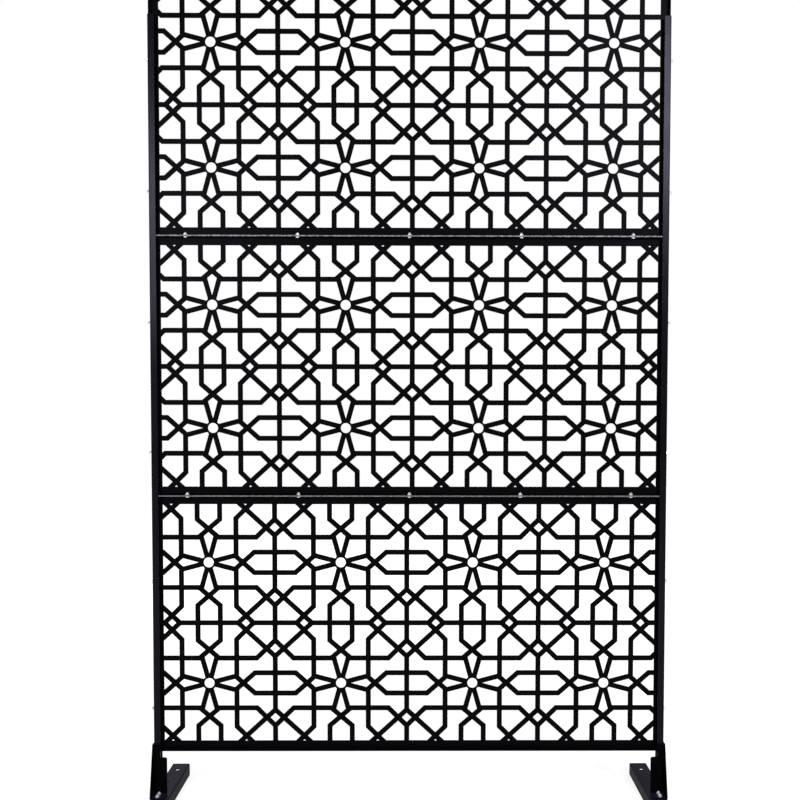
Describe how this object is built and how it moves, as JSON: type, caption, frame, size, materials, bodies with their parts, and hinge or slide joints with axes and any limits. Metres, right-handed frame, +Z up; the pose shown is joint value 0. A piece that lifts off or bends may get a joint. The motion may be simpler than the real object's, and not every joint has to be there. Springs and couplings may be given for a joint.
{
  "type": "laser cut metal screen",
  "caption": "Free-standing sheet-metal screen: stacked panels cut through with a geometric lattice, held by channel posts on cross feet.",
  "frame": {"origin": "on the ground, midway between the two feet and midway along them", "axes": "+X to the right as seen from the side that the pans open towards, +Y away from that viewer, +Z up"},
  "size_m": [1.207, 0.35, 1.9297],
  "materials": {
    "coated_panel": "matt black powder coat on thin sheet steel",
    "coated_post": "satin black powder coat on folded steel channel",
    "coated_base": "satin black powder coat on bent steel plate",
    "plated_fastener": "zinc-plated steel"
  },
  "bodies": {
    "root": {"panel_bottom": "coated_panel", "panel_middle": "coated_panel", "panel_top": "coated_panel", "post_left_lower": "coated_post", "post_left_upper": "coated_post", "foot_left": "coated_base", "bracket_left": "coated_base", "side_bolt_left_1": "plated_fastener", "side_bolt_left_2": "plated_fastener", "side_bolt_left_3": "plated_fastener", "side_bolt_left_4": "plated_fastener", "side_bolt_left_5": "plated_fastener", "side_bolt_left_6": "plated_fastener", "foot_bolt_left_1": "plated_fastener", "foot_nut_left_1": "plated_fastener", "foot_bolt_left_2": "plated_fastener", "foot_nut_left_2": "plated_fastener", "post_bolt_left": "plated_fastener", "post_nut_left": "plated_fastener", "post_right_lower": "coated_post", "post_right_upper": "coated_post", "foot_right": "coated_base", "bracket_right": "coated_base", "side_bolt_right_1": "plated_fastener", "side_bolt_right_2": "plated_fastener", "side_bolt_right_3": "plated_fastener", "side_bolt_right_4": "plated_fastener", "side_bolt_right_5": "plated_fastener", "side_bolt_right_6": "plated_fastener", "foot_bolt_right_1": "plated_fastener", "foot_nut_right_1": "plated_fastener", "foot_bolt_right_2": "plated_fastener", "foot_nut_right_2": "plated_fastener", "post_bolt_right": "plated_fastener", "post_nut_right": "plated_fastener", "seam_bolt_lower_1": "plated_fastener", "seam_nut_lower_1": "plated_fastener", "seam_bolt_lower_2": "plated_fastener", "seam_nut_lower_2": "plated_fastener", "seam_bolt_lower_3": "plated_fastener", "seam_nut_lower_3": "plated_fastener", "seam_bolt_lower_4": "plated_fastener", "seam_nut_lower_4": "plated_fastener", "seam_bolt_lower_5": "plated_fastener", "seam_nut_lower_5": "plated_fastener", "seam_bolt_upper_1": "plated_fastener", "seam_nut_upper_1": "plated_fastener", "seam_bolt_upper_2": "plated_fastener", "seam_nut_upper_2": "plated_fastener", "seam_bolt_upper_3": "plated_fastener", "seam_nut_upper_3": "plated_fastener", "seam_bolt_upper_4": "plated_fastener", "seam_nut_upper_4": "plated_fastener", "seam_bolt_upper_5": "plated_fastener", "seam_nut_upper_5": "plated_fastener"}
  },
  "joints": []
}
